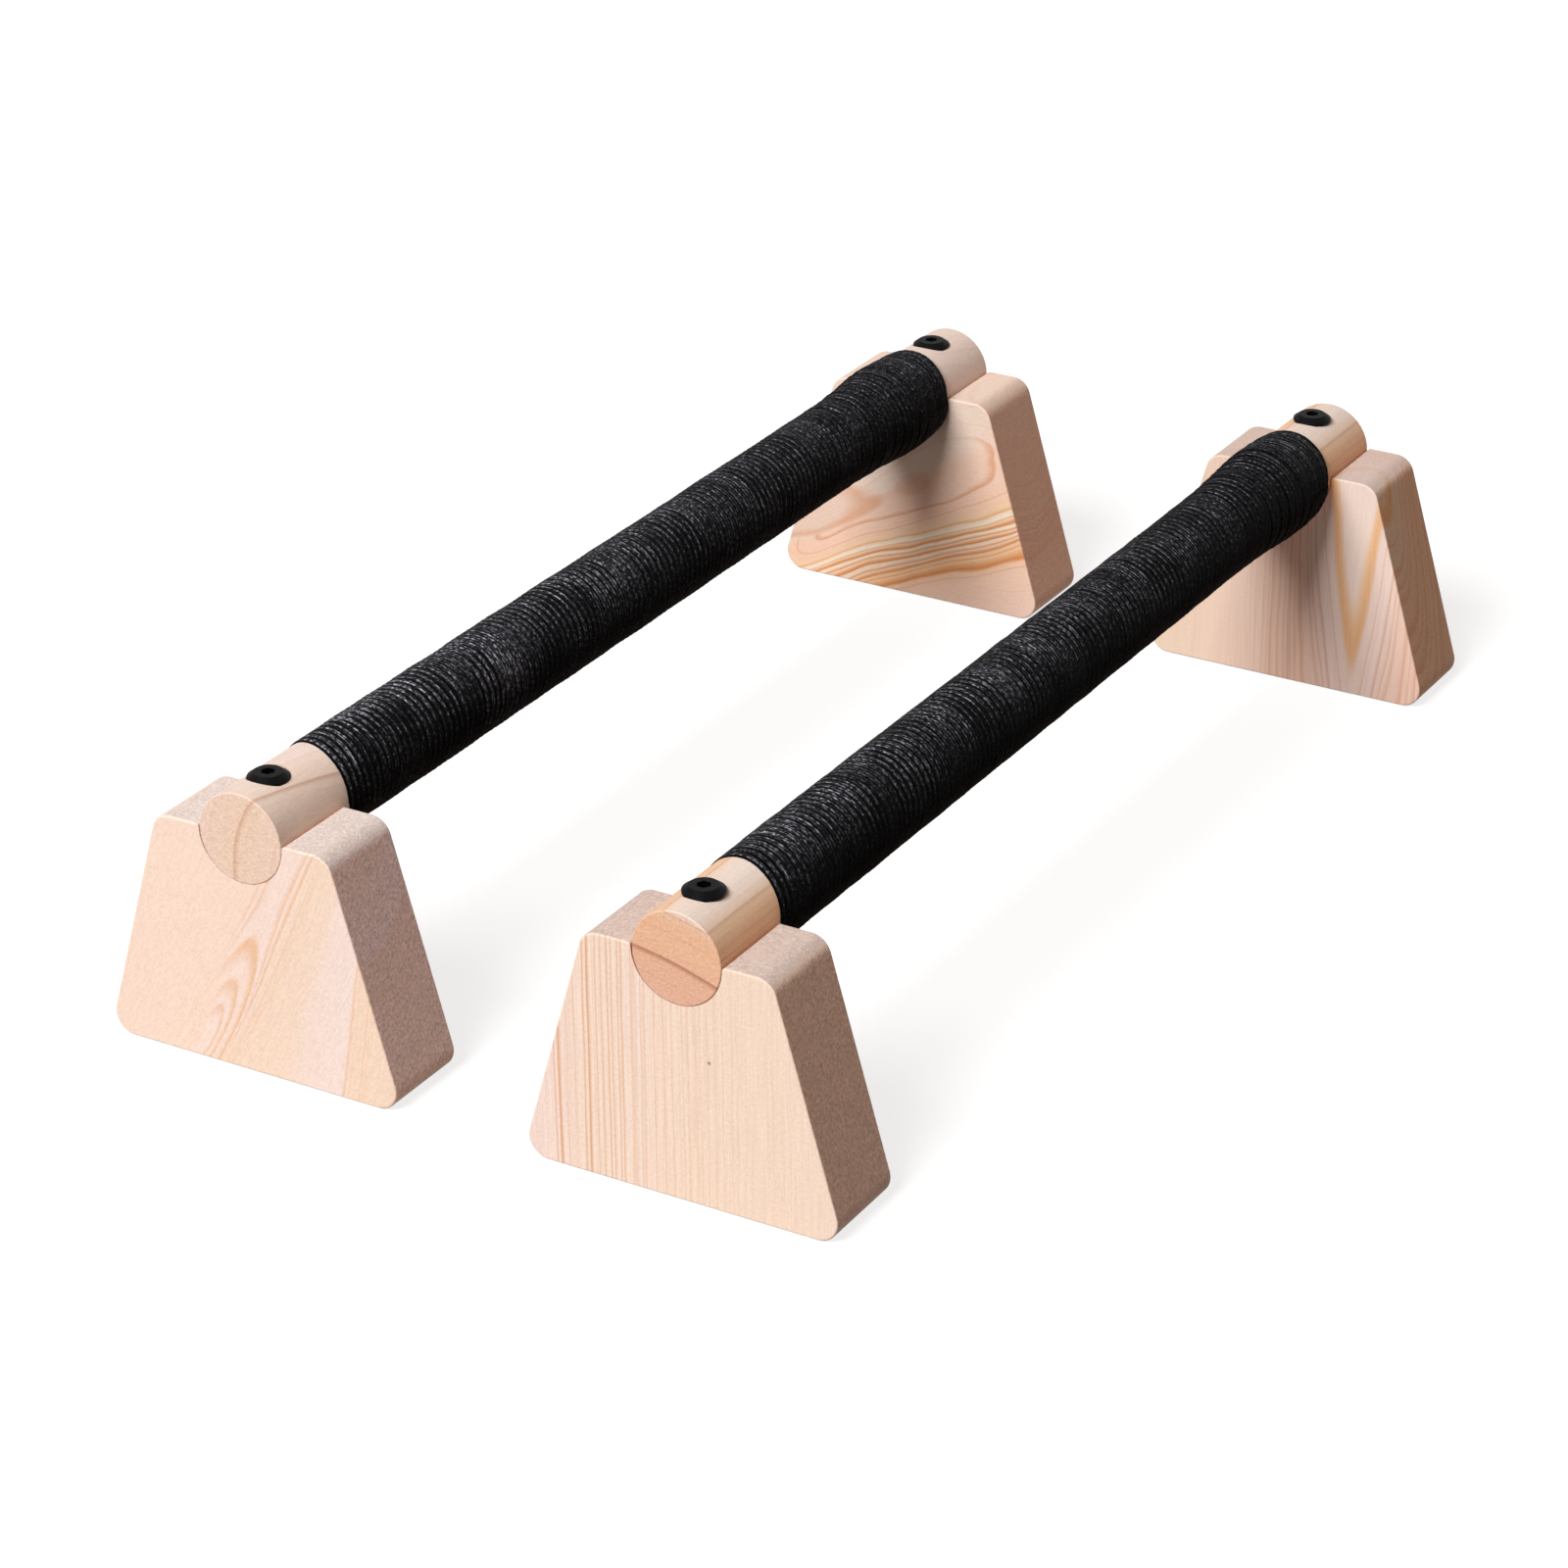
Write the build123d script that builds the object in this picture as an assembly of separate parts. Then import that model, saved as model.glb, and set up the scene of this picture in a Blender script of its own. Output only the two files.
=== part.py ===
from build123d import *
import os
from math import sqrt

# A pair of low wooden parallel bars for the floor.
#
# Each unit is a beech dowel lying in half-round saddles cut into two softwood feet.
# One furniture bolt at each end goes down through the dowel into a threaded insert
# that is sunk in the foot, and an elastic strip is wound round the grip between the feet.
#
# Frame: millimetres, +X across the pair, +Y along the bars, +Z up.
# The origin lies on the floor, at the middle of the pair.

# ---------------------------------------------------------------- driving dimensions

# the pair
BAR_LENGTH = 550.0          # dowel, end to end, flush with the feet
BAR_SPACING = 189.0         # between the two dowels' axes

# foot: an upright block, seen from its end as a trapezoid
FOOT_BASE_WIDTH = 136.0
FOOT_TOP_WIDTH = 78.0
FOOT_HEIGHT = 100.0
FOOT_THICKNESS = 39.0
FOOT_CORNER_RADIUS = 8.5    # the four corners of the trapezoid
FOOT_EDGE_EASE = 0.8        # sanded edges round both faces, before the saddle is bored

# dowel and the saddle that holds it
DOWEL_DIAMETER = 37.0
DOWEL_END_EASE = 0.5
SADDLE_CLEARANCE = 0.4      # saddle radius over the dowel's radius
SADDLE_SEAT_GAP = 0.1       # left under the dowel, where it rests
SADDLE_AXIS_DROP = 1.1      # saddle centre below the foot's top
SADDLE_MOUTH_RADIUS = 1.5   # rounded lips of the saddle

# furniture bolt: a low bevelled head with a hexagon socket
BOLT_DIAMETER = 8.0
BOLT_LENGTH = 50.0          # under the head
BOLT_TIP_CHAMFER = 1.0
BOLT_HEAD_DIAMETER = 16.2
BOLT_HEAD_FLAT_DIAMETER = 11.2
BOLT_HEAD_RIM = 1.4         # height of the upright rim
BOLT_HEAD_HEIGHT = 3.2
BOLT_HEAD_EASE = 0.35
HEX_ACROSS_FLATS = 5.0
HEX_DEPTH = 2.4
BOLT_HOLE_CLEARANCE = 0.4   # radial, in the dowel
SPOT_FACE_DEPTHS = {"left": 2.0, "right": 1.0}   # flats cut in each dowel's top for the heads
SPOT_FACE_MARGIN = 0.4      # radial, round the head

# threaded insert in the foot, below the saddle
INSERT_DIAMETER = 13.0
INSERT_CORE_DIAMETER = 11.0
INSERT_LENGTH = 18.0
INSERT_BARBS = 4
INSERT_HOLE_CLEARANCE = 0.05
INSERT_SUNK = 0.5           # top of the insert below the saddle
INSERT_THREAD_CLEARANCE = 0.05
BOLT_RUN_OUT = 6.0          # free depth of the hole past the bolt's tip

# grip wrap: an elastic strip wound round the dowel, each turn half over the last
WRAP_END_GAPS = {"left": (4.5, 0.5), "right": (1.0, 4.5)}   # bare dowel left at the near and far foot
WRAP_BORE_CLEARANCE = 0.05
STRIP_THICKNESS = 0.4
LAP_PITCH = 22.0            # advance of the strip in one turn
START_TURN_WIDTH = 9.0      # straight first turn at the near foot
START_TURN_LAYERS = 2.4
FINISH_STEPS = 4            # edges of the last turns, stacked towards the far foot
FINISH_STEP_WIDTH = 8.0
FINISH_STEP_RISE = 0.6
FINISH_STEP_FACE = 0.8      # length over which each edge rises
FINISH_BAND_WIDTH = 32.0    # the straight last turn
WRAP_EDGE_EASE = 0.5

# ---------------------------------------------------------------- places worked out

DOWEL_RADIUS = DOWEL_DIAMETER / 2
SADDLE_RADIUS = DOWEL_RADIUS + SADDLE_CLEARANCE
SADDLE_AXIS_Z = FOOT_HEIGHT - SADDLE_AXIS_DROP
DOWEL_AXIS_Z = SADDLE_AXIS_Z - SADDLE_CLEARANCE + SADDLE_SEAT_GAP
DOWEL_CROWN_Z = DOWEL_AXIS_Z + DOWEL_RADIUS
SADDLE_BOTTOM_Z = SADDLE_AXIS_Z - SADDLE_RADIUS

FOOT_Y = (BAR_LENGTH - FOOT_THICKNESS) / 2
BOLT_SEAT_Z = {side: DOWEL_CROWN_Z - depth for side, depth in SPOT_FACE_DEPTHS.items()}
INSERT_TOP_Z = SADDLE_BOTTOM_Z - INSERT_SUNK
INSERT_HOLE_FLOOR_Z = min(BOLT_SEAT_Z.values()) - BOLT_LENGTH - BOLT_RUN_OUT

GRIP_END_Y = BAR_LENGTH / 2 - FOOT_THICKNESS           # inner faces of the feet

SIDES = {"left": -BAR_SPACING / 2, "right": BAR_SPACING / 2}
ENDS = {"near": -FOOT_Y, "far": FOOT_Y}


# ---------------------------------------------------------------- feet

def trapezoid():
    """The foot's outline from the end, before the saddle is cut."""
    base, top = FOOT_BASE_WIDTH / 2, FOOT_TOP_WIDTH / 2
    corners = Polyline((-base, 0), (base, 0), (top, FOOT_HEIGHT), (-top, FOOT_HEIGHT), close=True)
    outline = make_face(corners)
    return fillet(outline.vertices(), FOOT_CORNER_RADIUS)


def saddle_cut():
    """A half-round groove whose lips turn over in a small radius onto the foot's top."""
    lip = SADDLE_MOUTH_RADIUS
    rise = FOOT_HEIGHT - lip - SADDLE_AXIS_Z            # lip centre above the saddle's axis
    lip_x = sqrt((SADDLE_RADIUS + lip) ** 2 - rise ** 2)
    reach = SADDLE_RADIUS / (SADDLE_RADIUS + lip)
    touch = Vector(lip_x * reach, SADDLE_AXIS_Z + rise * reach)   # where lip and groove meet
    over = FOOT_HEIGHT + SADDLE_RADIUS                  # well clear of the block
    right_lip = TangentArc((lip_x, FOOT_HEIGHT), touch, tangent=(-1, 0))
    left_lip = TangentArc((-lip_x, FOOT_HEIGHT), (-touch.X, touch.Y), tangent=(1, 0))
    groove = ThreePointArc(touch, (0, SADDLE_BOTTOM_Z), (-touch.X, touch.Y))
    rim = Polyline((lip_x, FOOT_HEIGHT), (lip_x, over), (-lip_x, over), (-lip_x, FOOT_HEIGHT))
    return make_face(right_lip + groove + left_lip + rim)


def foot():
    """One foot, standing on z = 0 and centred on y = 0."""
    block = extrude(Plane.XZ * trapezoid(), FOOT_THICKNESS / 2, both=True)
    faces = block.faces().sort_by(Axis.Y)
    block = fillet(faces[0].edges() + faces[-1].edges(), FOOT_EDGE_EASE)
    block -= extrude(Plane.XZ * saddle_cut(), FOOT_THICKNESS, both=True)
    hole_depth = INSERT_TOP_Z + INSERT_SUNK + DOWEL_RADIUS - INSERT_HOLE_FLOOR_Z
    hole = Cylinder(
        INSERT_DIAMETER / 2 + INSERT_HOLE_CLEARANCE, hole_depth,
        align=(Align.CENTER, Align.CENTER, Align.MIN),
    )
    return block - Pos(0, 0, INSERT_HOLE_FLOOR_Z) * hole


# ---------------------------------------------------------------- bar

def dowel(bolt_seat_z):
    """The bar, drilled and spot-faced for a bolt at each end."""
    bar = Pos(0, 0, DOWEL_AXIS_Z) * Rot(90, 0, 0) * Cylinder(DOWEL_RADIUS, BAR_LENGTH)
    bar = fillet(bar.edges().filter_by(GeomType.CIRCLE), DOWEL_END_EASE)
    upright = (Align.CENTER, Align.CENTER, Align.MIN)
    drill = Cylinder(BOLT_DIAMETER / 2 + BOLT_HOLE_CLEARANCE, DOWEL_DIAMETER, align=upright)
    spot_face = Cylinder(BOLT_HEAD_DIAMETER / 2 + SPOT_FACE_MARGIN, DOWEL_RADIUS, align=upright)
    for y in ENDS.values():
        bar -= Pos(0, y, DOWEL_AXIS_Z - DOWEL_RADIUS) * drill
        bar -= Pos(0, y, bolt_seat_z) * spot_face
    return bar


def wrap_profile(near_y, far_y):
    """Radius against length of the wound strip, from the near end to the far end."""
    bore = DOWEL_RADIUS + WRAP_BORE_CLEARANCE
    under = bore + STRIP_THICKNESS                      # one layer: just past a lap's edge
    over = under + STRIP_THICKNESS                      # two layers: up to a lap's edge
    start = bore + START_TURN_LAYERS * STRIP_THICKNESS
    finish_width = FINISH_STEPS * FINISH_STEP_WIDTH + FINISH_BAND_WIDTH
    laps_length = far_y - near_y - START_TURN_WIDTH - finish_width
    laps = max(1, round(laps_length / LAP_PITCH))
    pitch = laps_length / laps

    points = [(bore, 0), (start, 0), (start, START_TURN_WIDTH)]
    for lap in range(laps):
        along = START_TURN_WIDTH + lap * pitch
        points += [(under, along), (over, along + pitch)]
    for step in range(FINISH_STEPS):
        along = START_TURN_WIDTH + laps_length + step * FINISH_STEP_WIDTH
        radius = over + (step + 1) * FINISH_STEP_RISE
        points += [(radius, along + FINISH_STEP_FACE), (radius, along + FINISH_STEP_WIDTH)]
    points += [(radius, far_y - near_y), (bore, far_y - near_y)]
    return [(radius, near_y + along) for radius, along in points]


def grip_wrap(near_gap, far_gap):
    """The wound strip as one sleeve, whose outside steps at the edge of each turn."""
    profile = wrap_profile(near_gap - GRIP_END_Y, GRIP_END_Y - far_gap)
    sleeve = revolve(make_face(Polyline(*profile, close=True)), Axis.Y)
    rings = sleeve.edges().filter_by(GeomType.CIRCLE).group_by(Axis.Y)
    outer_rims = [rings[0].sort_by(SortBy.RADIUS)[-1], rings[-1].sort_by(SortBy.RADIUS)[-1]]
    return Pos(0, 0, DOWEL_AXIS_Z) * fillet(outer_rims, WRAP_EDGE_EASE)


# ---------------------------------------------------------------- fasteners

def bolt():
    """Furniture bolt, with the underside of its head at z = 0."""
    upright = (Align.CENTER, Align.CENTER, Align.MIN)
    hanging = (Align.CENTER, Align.CENTER, Align.MAX)
    rim = Cylinder(BOLT_HEAD_DIAMETER / 2, BOLT_HEAD_RIM, align=upright)
    bevel = Pos(0, 0, BOLT_HEAD_RIM) * Cone(
        BOLT_HEAD_DIAMETER / 2, BOLT_HEAD_FLAT_DIAMETER / 2, BOLT_HEAD_HEIGHT - BOLT_HEAD_RIM,
        align=upright,
    )
    head = rim + bevel
    head = fillet(head.edges().filter_by(GeomType.CIRCLE), BOLT_HEAD_EASE)
    hexagon = RegularPolygon(HEX_ACROSS_FLATS / 2, 6, major_radius=False)
    socket = extrude(Pos(0, 0, BOLT_HEAD_HEIGHT) * hexagon, -HEX_DEPTH)
    shank = Cylinder(BOLT_DIAMETER / 2, BOLT_LENGTH, align=hanging)
    tip = shank.edges().filter_by(GeomType.CIRCLE).sort_by(Axis.Z)[0]
    return head - socket + chamfer(tip, BOLT_TIP_CHAMFER)


def insert():
    """Threaded insert with barbs that bite the foot, hanging down from z = 0."""
    bore = BOLT_DIAMETER / 2 + INSERT_THREAD_CLEARANCE
    core, crest = INSERT_CORE_DIAMETER / 2, INSERT_DIAMETER / 2
    pitch = INSERT_LENGTH / INSERT_BARBS
    points = [(bore, 0), (crest, 0)]
    for barb in range(INSERT_BARBS):
        top = -barb * pitch
        points += [(crest, top - pitch / 3), (core, top - pitch / 2)]
        if barb < INSERT_BARBS - 1:
            points += [(core, top - pitch * 2 / 3), (crest, top - pitch)]
    points += [(core, -INSERT_LENGTH), (bore, -INSERT_LENGTH)]
    section = Plane.XZ * make_face(Polyline(*points, close=True))
    return revolve(section, Axis.Z)


# ---------------------------------------------------------------- the pair

def unit_pieces(side):
    """Every piece of one side's unit, at x = 0, by its plain name."""
    seat_z = BOLT_SEAT_Z[side]
    pieces = {"dowel": dowel(seat_z), "grip_wrap": grip_wrap(*WRAP_END_GAPS[side])}
    for end, y in ENDS.items():
        pieces[f"{end}_foot"] = Pos(0, y, 0) * foot()
        pieces[f"{end}_bolt"] = Pos(0, y, seat_z) * bolt()
        pieces[f"{end}_insert"] = Pos(0, y, INSERT_TOP_Z) * insert()
    return pieces


os.makedirs("parts", exist_ok=True)
for side, x in SIDES.items():
    for name, piece in unit_pieces(side).items():
        export_step(Pos(x, 0, 0) * piece, f"parts/{side}_{name}.step")
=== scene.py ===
import math

import bpy
from mathutils import Euler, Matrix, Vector


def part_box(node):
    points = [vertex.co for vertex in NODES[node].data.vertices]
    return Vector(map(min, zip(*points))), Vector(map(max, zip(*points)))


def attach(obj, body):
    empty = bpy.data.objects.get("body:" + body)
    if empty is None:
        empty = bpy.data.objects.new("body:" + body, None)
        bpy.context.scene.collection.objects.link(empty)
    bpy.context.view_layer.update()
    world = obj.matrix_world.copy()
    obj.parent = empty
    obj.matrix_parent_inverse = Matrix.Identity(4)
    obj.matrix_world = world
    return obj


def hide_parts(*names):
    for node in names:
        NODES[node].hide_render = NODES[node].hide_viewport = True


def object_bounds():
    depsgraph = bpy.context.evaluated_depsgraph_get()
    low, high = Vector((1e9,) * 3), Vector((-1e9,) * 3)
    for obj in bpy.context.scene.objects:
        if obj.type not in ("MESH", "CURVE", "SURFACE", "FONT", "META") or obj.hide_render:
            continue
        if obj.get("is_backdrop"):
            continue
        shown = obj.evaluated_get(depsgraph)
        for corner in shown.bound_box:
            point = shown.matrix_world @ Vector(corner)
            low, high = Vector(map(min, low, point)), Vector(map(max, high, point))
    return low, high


# A pair of low wooden parallel bars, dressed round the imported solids: pine feet,
# beech bars, black furniture bolts and a black elastic strip wound round each grip.

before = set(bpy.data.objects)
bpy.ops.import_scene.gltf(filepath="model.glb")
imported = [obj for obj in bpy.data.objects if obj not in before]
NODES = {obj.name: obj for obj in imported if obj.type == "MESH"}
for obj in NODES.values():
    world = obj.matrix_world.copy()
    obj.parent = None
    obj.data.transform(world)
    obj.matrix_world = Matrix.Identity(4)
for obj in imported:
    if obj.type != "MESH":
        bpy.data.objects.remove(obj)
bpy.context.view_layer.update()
scene = bpy.context.scene

# ------------------------------------------------------------------ camera
# A long lens on a tripod, above the bars and to the right of their near ends, so that
# each foot shows an end face and its right slope and the bars run away to the right.

CAMERA_AZIMUTH = 30.55
CAMERA_ELEVATION = 26.224
CAMERA_ROLL = -0.472
CAMERA_PLACE = (0.88305, -1.53529, 0.89879)
LENS = 110.145
SENSOR = 36.0

azimuth, elevation = math.radians(CAMERA_AZIMUTH), math.radians(CAMERA_ELEVATION)
look = Vector((
    -math.sin(azimuth) * math.cos(elevation),
    math.cos(azimuth) * math.cos(elevation),
    -math.sin(elevation),
))
camera_data = bpy.data.cameras.new("studio_camera")
camera_data.lens = LENS
camera_data.sensor_width = SENSOR
camera_data.clip_start, camera_data.clip_end = 0.05, 50.0
camera = bpy.data.objects.new("studio_camera", camera_data)
scene.collection.objects.link(camera)
camera.location = CAMERA_PLACE
turn = look.to_track_quat("-Z", "Y") @ Euler((0, 0, math.radians(CAMERA_ROLL))).to_quaternion()
camera.rotation_mode = "QUATERNION"
camera.rotation_quaternion = turn
scene.camera = camera

# ------------------------------------------------------------------ studio
# One big softbox in front of the bars' near ends and a little to their left, a weak
# even fill from the room, and a white floor that takes a soft shadow.

scene.view_settings.view_transform = "Standard"


def hex_colour(code):
    """The linear colour of an sRGB hex value."""
    parts = [int(code[i:i + 2], 16) / 255 for i in (1, 3, 5)]
    return [p / 12.92 if p <= 0.04045 else ((p + 0.055) / 1.055) ** 2.4 for p in parts] + [1.0]


def add_node(tree, kind, inputs=None, stops=None, points=None, **settings):
    """Adds a node with its settings. An input is a value, the socket that feeds it, or a node whose
    first output does; stops are a colour ramp's places with hex colours or grey levels, points a curve's."""
    node = tree.nodes.new(kind)
    for name, value in settings.items():
        setattr(node, name, value)
    for name, value in (inputs or {}).items():
        if isinstance(value, bpy.types.Node):
            value = value.outputs[0]
        if isinstance(value, bpy.types.NodeSocket):
            tree.links.new(value, node.inputs[name])
        else:
            node.inputs[name].default_value = value
    for count, (at, value) in enumerate(stops or []):
        ramp = node.color_ramp.elements
        stop = ramp[count] if count < 2 else ramp.new(at)
        stop.position = at
        stop.color = hex_colour(value) if isinstance(value, str) else (value, value, value, 1)
    for count, point in enumerate(points or []):
        curve = node.mapping.curves[0].points
        if count < 2:
            curve[count].location = point
        else:
            curve.new(*point)
    return node


def new_tree(owner):
    """The emptied node tree of a material or world."""
    owner.use_nodes = True
    owner.node_tree.nodes.clear()
    return owner.node_tree


def sees_backdrop(tree):
    """1 for rays from the camera or by way of metal and glass, which see the white, else 0."""
    path = add_node(tree, "ShaderNodeLightPath")
    seen = add_node(tree, "ShaderNodeMath", {
        0: path.outputs["Is Camera Ray"], 1: path.outputs["Is Transmission Ray"]}, operation="MAXIMUM")
    return add_node(tree, "ShaderNodeMath", {0: seen, 1: path.outputs["Is Glossy Ray"]}, operation="MAXIMUM")


KEY_TOWARDS = Vector((-0.12, -0.69, 0.70)).normalized()
KEY_DISTANCE = 9.0
KEY_WIDTH, KEY_HEIGHT = 5.0, 3.7
KEY_POWER = 988.0
ROOM_FILL = 0.154

key_data = bpy.data.lights.new("softbox", "AREA")
key_data.shape = "RECTANGLE"
key_data.size, key_data.size_y = KEY_WIDTH, KEY_HEIGHT
key_data.energy = KEY_POWER
key_data.color = hex_colour("#F9FDFF")[:3]
key = bpy.data.objects.new("softbox", key_data)
scene.collection.objects.link(key)
key.location = KEY_TOWARDS * KEY_DISTANCE
key.rotation_euler = KEY_TOWARDS.to_track_quat("Z", "Y").to_euler()

room = bpy.data.worlds.new("studio_room")
scene.world = room
tree = new_tree(room)
fill = add_node(tree, "ShaderNodeBackground", {"Color": hex_colour("#FFD4C0"), "Strength": ROOM_FILL})
white = add_node(tree, "ShaderNodeBackground", {"Color": hex_colour("#FFFFFF"), "Strength": 1.0})
mixed = add_node(tree, "ShaderNodeMixShader", {0: sees_backdrop(tree), 1: fill, 2: white})
add_node(tree, "ShaderNodeOutputWorld", {"Surface": mixed})

FLOOR_HALF = 6.0
FLOOR_DROP = 0.0003
FLOOR_GLOW = 0.80
floor_mesh = bpy.data.meshes.new("studio_floor")
corners = [(x * FLOOR_HALF, y * FLOOR_HALF, 0) for x, y in ((-1, -1), (1, -1), (1, 1), (-1, 1))]
floor_mesh.from_pydata(corners, [], [(0, 1, 2, 3)])
floor = bpy.data.objects.new("studio_floor", floor_mesh)
scene.collection.objects.link(floor)
floor.location.z = -FLOOR_DROP
# a clean white ground on which only the soft shadow shows
paper = bpy.data.materials.new("white seamless paper")
tree = new_tree(paper)
glow = add_node(tree, "ShaderNodeMath", {0: sees_backdrop(tree), 1: FLOOR_GLOW}, operation="MULTIPLY")
shine = add_node(tree, "ShaderNodeEmission", {"Color": hex_colour("#FFFFFF"), "Strength": glow})
matt = add_node(tree, "ShaderNodeBsdfDiffuse", {"Color": hex_colour("#9A9896"), "Roughness": 0.5})
both = add_node(tree, "ShaderNodeAddShader", {0: shine, 1: matt})
add_node(tree, "ShaderNodeOutputMaterial", {"Surface": both})
floor_mesh.materials.append(paper)
floor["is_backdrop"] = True

# ------------------------------------------------------------------ feet
# Four blocks sawn from planed pine board, cut to a trapezoid, bored half round for
# the bar and sanded. Each comes from another place in the tree, so its rings differ.

MM = 0.001
# in mm: each foot's near face, and the units' axes
END_FACE = {"near": -275.0, "far": 236.0}
AXIS_X = {"left": -94.5, "right": 94.5}

# how the wood darkens through a year, from its pale early part to the end of its late line
YEAR_TONE = [(0.0, 0.0), (0.45, 0.03), (0.72, 0.35), (0.88, 1.0), (0.94, 0.9), (1.0, 0.0)]
# a ramp's 32 stops are enough for ten bold rings; it reaches 6 mm past the first and the last
RINGS_IN_RAMP = 10
RING_MARGIN = 6
# how squarely a face has to cut the fibres, or to face left or right, to count as end or slope
END_FROM, END_FULL = 0.45, 0.9
SLOPE_FROM, SLOPE_FULL = 0.7, 0.95
# fibres about a millimetre apart and thirty long, and fuzz as coarse: both coarser than real ones, to show
FIBRES_PER_MM = (1.1, 1.1, 0.035)
FUZZ_PER_MM = 0.75
WOOD_RELIEF = 0.25 * MM
PIT_COLOUR = "#7A4A35"


def growth_ring_wood(name, pith, along, zones, late, year, years_show, rings=(), sweep=(0, 0, 0),
                     leans=(), lee=None, tips=(), wander=(1.0, 30.0), end_tint="#E6D6CC", end_share=0.8,
                     sawn_tint=None, fibre=0.05, fuzz=0.06, pits=(), seed=0.0, roughness=0.62):
    """Wood as a solid texture, all lengths in mm. Rings lie round a pith line, so faces cut along
    it show lines and arches and faces cut across it show arcs. A ring's place is its distance
    from the pith: zones give the wood's colour there, years_show how plainly the yearly lines
    show, and rings single bold ones as (place, width, depth). Leans, as (slope, from, to), turn
    the rings into cones between two distances, sweep bends the pith by the height squared, and
    wander is how far rings stray and over what length. Lee is (direction, colour, share): on the
    pith's other side the wood has that colour and only that share of its lines. Tips are the soft
    ends of single years' cones, as (centre, half sizes, lean, hollow, depth)."""
    material = bpy.data.materials.new(name)
    tree = new_tree(material)
    grain = Vector(along).normalized()
    frame_turn = grain.to_track_quat("Z", "Y")
    place = add_node(tree, "ShaderNodeTexCoord")
    local = add_node(tree, "ShaderNodeMapping", {
        "Vector": place.outputs["Object"], "Location": Vector(pith) * MM, "Rotation": frame_turn.to_euler(),
        "Scale": (MM, MM, MM)}, vector_type="TEXTURE")
    height = add_node(tree, "ShaderNodeSeparateXYZ", {0: local}).outputs["Z"]

    def by_place(stops):
        """A ramp over the rings' places, with stops in mm."""
        first, span = stops[0][0], stops[-1][0] - stops[0][0]
        at = add_node(tree, "ShaderNodeMapRange", {
            "Value": where, "From Min": first, "From Max": stops[-1][0]})
        return add_node(tree, "ShaderNodeValToRGB", {"Fac": at}, stops=[
            ((spot - first) / span, value) for spot, value in stops])

    # the stem bends, and its rings wander, more slowly along the grain than across it
    squared = add_node(tree, "ShaderNodeMath", {0: height, 1: 2.0}, operation="POWER")
    bend = add_node(tree, "ShaderNodeVectorMath", {
        0: frame_turn.inverted() @ (Vector(sweep) * -1), "Scale": squared}, operation="SCALE")
    slow = add_node(tree, "ShaderNodeMapping", {
        "Vector": local, "Location": (seed, seed * 0.7, 0),
        "Scale": (1 / wander[1], 1 / wander[1], 0.4 / wander[1])})
    drift = add_node(tree, "ShaderNodeTexNoise", {
        "Vector": slow, "Scale": 1.0, "Detail": 1.5, "Roughness": 0.4})
    drift = add_node(tree, "ShaderNodeVectorMath", {
        0: drift.outputs["Color"], 1: (0.5, 0.5, 0.5)}, operation="SUBTRACT")
    bent = add_node(tree, "ShaderNodeVectorMath", {0: local, 1: bend}, operation="ADD")
    bent = add_node(tree, "ShaderNodeVectorMath", {
        0: drift, 1: (wander[0] * 4,) * 3, 2: bent}, operation="MULTIPLY_ADD")
    across = add_node(tree, "ShaderNodeVectorMath", {0: bent, 1: (1, 1, 0)}, operation="MULTIPLY")
    radius = add_node(tree, "ShaderNodeVectorMath", {0: across}, operation="LENGTH").outputs["Value"]
    where = radius
    for steep, begins, ends_at in leans:
        cone = add_node(tree, "ShaderNodeMapRange", {
            "Value": radius, "From Min": begins, "From Max": ends_at, "To Max": steep})
        where = add_node(tree, "ShaderNodeMath", {0: height, 1: cone, 2: where}, operation="MULTIPLY_ADD")

    # every year a pale band that darkens to a thin late line, then starts afresh
    uneven = add_node(tree, "ShaderNodeTexNoise", {
        "W": where, "Scale": 0.35 / year, "Detail": 1.0}, noise_dimensions="1D")
    count = add_node(tree, "ShaderNodeMath", {0: where, 1: 1 / year}, operation="MULTIPLY")
    count = add_node(tree, "ShaderNodeMath", {0: uneven, 1: 3.0, 2: count}, operation="MULTIPLY_ADD")
    season = add_node(tree, "ShaderNodeMath", {0: count}, operation="FRACT")
    number = add_node(tree, "ShaderNodeMath", {0: count}, operation="FLOOR")
    number = add_node(tree, "ShaderNodeMath", {0: number, 1: seed}, operation="ADD")
    vigour = add_node(tree, "ShaderNodeTexWhiteNoise", {"W": number}, noise_dimensions="1D")
    vigour = add_node(tree, "ShaderNodeMapRange", {
        "Value": vigour.outputs["Value"], "To Min": 0.2, "To Max": 1.0})
    yearly = add_node(tree, "ShaderNodeValToRGB", {"Fac": season}, stops=YEAR_TONE)
    yearly = add_node(tree, "ShaderNodeMath", {0: yearly, 1: vigour}, operation="MULTIPLY")
    line = add_node(tree, "ShaderNodeMath", {0: yearly, 1: by_place(years_show)}, operation="MULTIPLY")
    for start in range(0, len(rings), RINGS_IN_RAMP):
        group = rings[start:start + RINGS_IN_RAMP]
        stops = [(group[0][0] - RING_MARGIN, 0.0)]
        for at, wide, deep in group:
            stops += [(at - wide, 0.0), (at - 0.1 * wide, deep), (at + 0.25 * wide, 0.0)]
        stops += [(group[-1][0] + RING_MARGIN, 0.0)]
        line = add_node(tree, "ShaderNodeMath", {0: line, 1: by_place(stops)}, operation="MAXIMUM")

    # the wood's own colour, by its place in the stem
    body = by_place(zones)
    if lee:
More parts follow.
